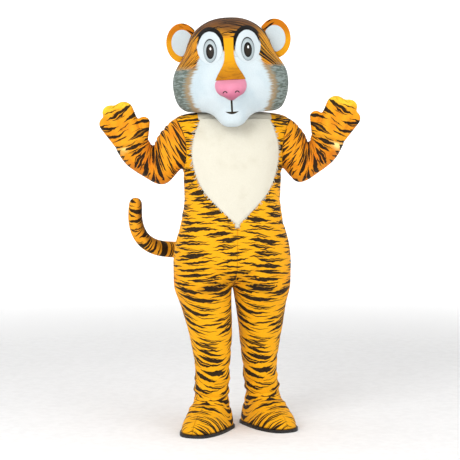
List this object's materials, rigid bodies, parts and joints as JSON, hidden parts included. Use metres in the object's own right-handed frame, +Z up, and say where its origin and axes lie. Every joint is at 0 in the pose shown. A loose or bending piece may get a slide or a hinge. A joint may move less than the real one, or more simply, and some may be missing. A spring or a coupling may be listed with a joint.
{
  "type": "tiger mascot costume",
  "caption": "Hollow plush tiger costume in its worn pose: jumpsuit with chest panel and tail, mitts, foot covers and a large rounded animal head with ears.",
  "frame": {"origin": "between the shoulders, where the suit hangs on the wearer; the soles are 1.45 m below it", "axes": "+Z up, the costume faces -Y, the wearer's right side is at -X"},
  "size_m": [1.2066, 0.6616, 1.9064],
  "materials": {
    "suit_plush": "short plush pile with black stripes",
    "sleeve_plush": "short plush pile with black stripes",
    "foot_plush": "short plush pile with black stripes",
    "sole_black": "matt ribbed sole",
    "chest_fur": "long cream fur",
    "tail_plush": "short plush pile with black stripes",
    "face_plush": "short pile, airbrushed at the cheeks",
    "crown_plush": "short pile with dark stripes",
    "patch_white": "short pile with a black upper edge",
    "eye_gloss": "polished, painted pupil",
    "ear_orange": "short plush pile",
    "ear_pale": "short plush pile",
    "bridge_orange": "airbrushed short pile",
    "nose_pink": "satin painted foam"
  },
  "bodies": {
    "root": {"front_right": "suit_plush", "back_right": "suit_plush", "sleeve_right": "sleeve_plush", "mitt_palm_right": "sleeve_plush", "mitt_back_right": "sleeve_plush", "foot_outer_right": "foot_plush", "foot_inner_right": "foot_plush", "sole_right": "sole_black", "eye_patch_right": "patch_white", "eye_right": "eye_gloss", "ear_right": "ear_orange", "ear_lining_right": "ear_pale", "front_left": "suit_plush", "back_left": "suit_plush", "sleeve_left": "sleeve_plush", "mitt_palm_left": "sleeve_plush", "mitt_back_left": "sleeve_plush", "foot_outer_left": "foot_plush", "foot_inner_left": "foot_plush", "sole_left": "sole_black", "eye_patch_left": "patch_white", "eye_left": "eye_gloss", "ear_left": "ear_orange", "ear_lining_left": "ear_pale", "chest_panel": "chest_fur", "tail": "tail_plush", "head_face": "face_plush", "head_back": "crown_plush", "head_crown": "crown_plush", "nose_bridge": "bridge_orange", "nose": "nose_pink"}
  },
  "joints": []
}
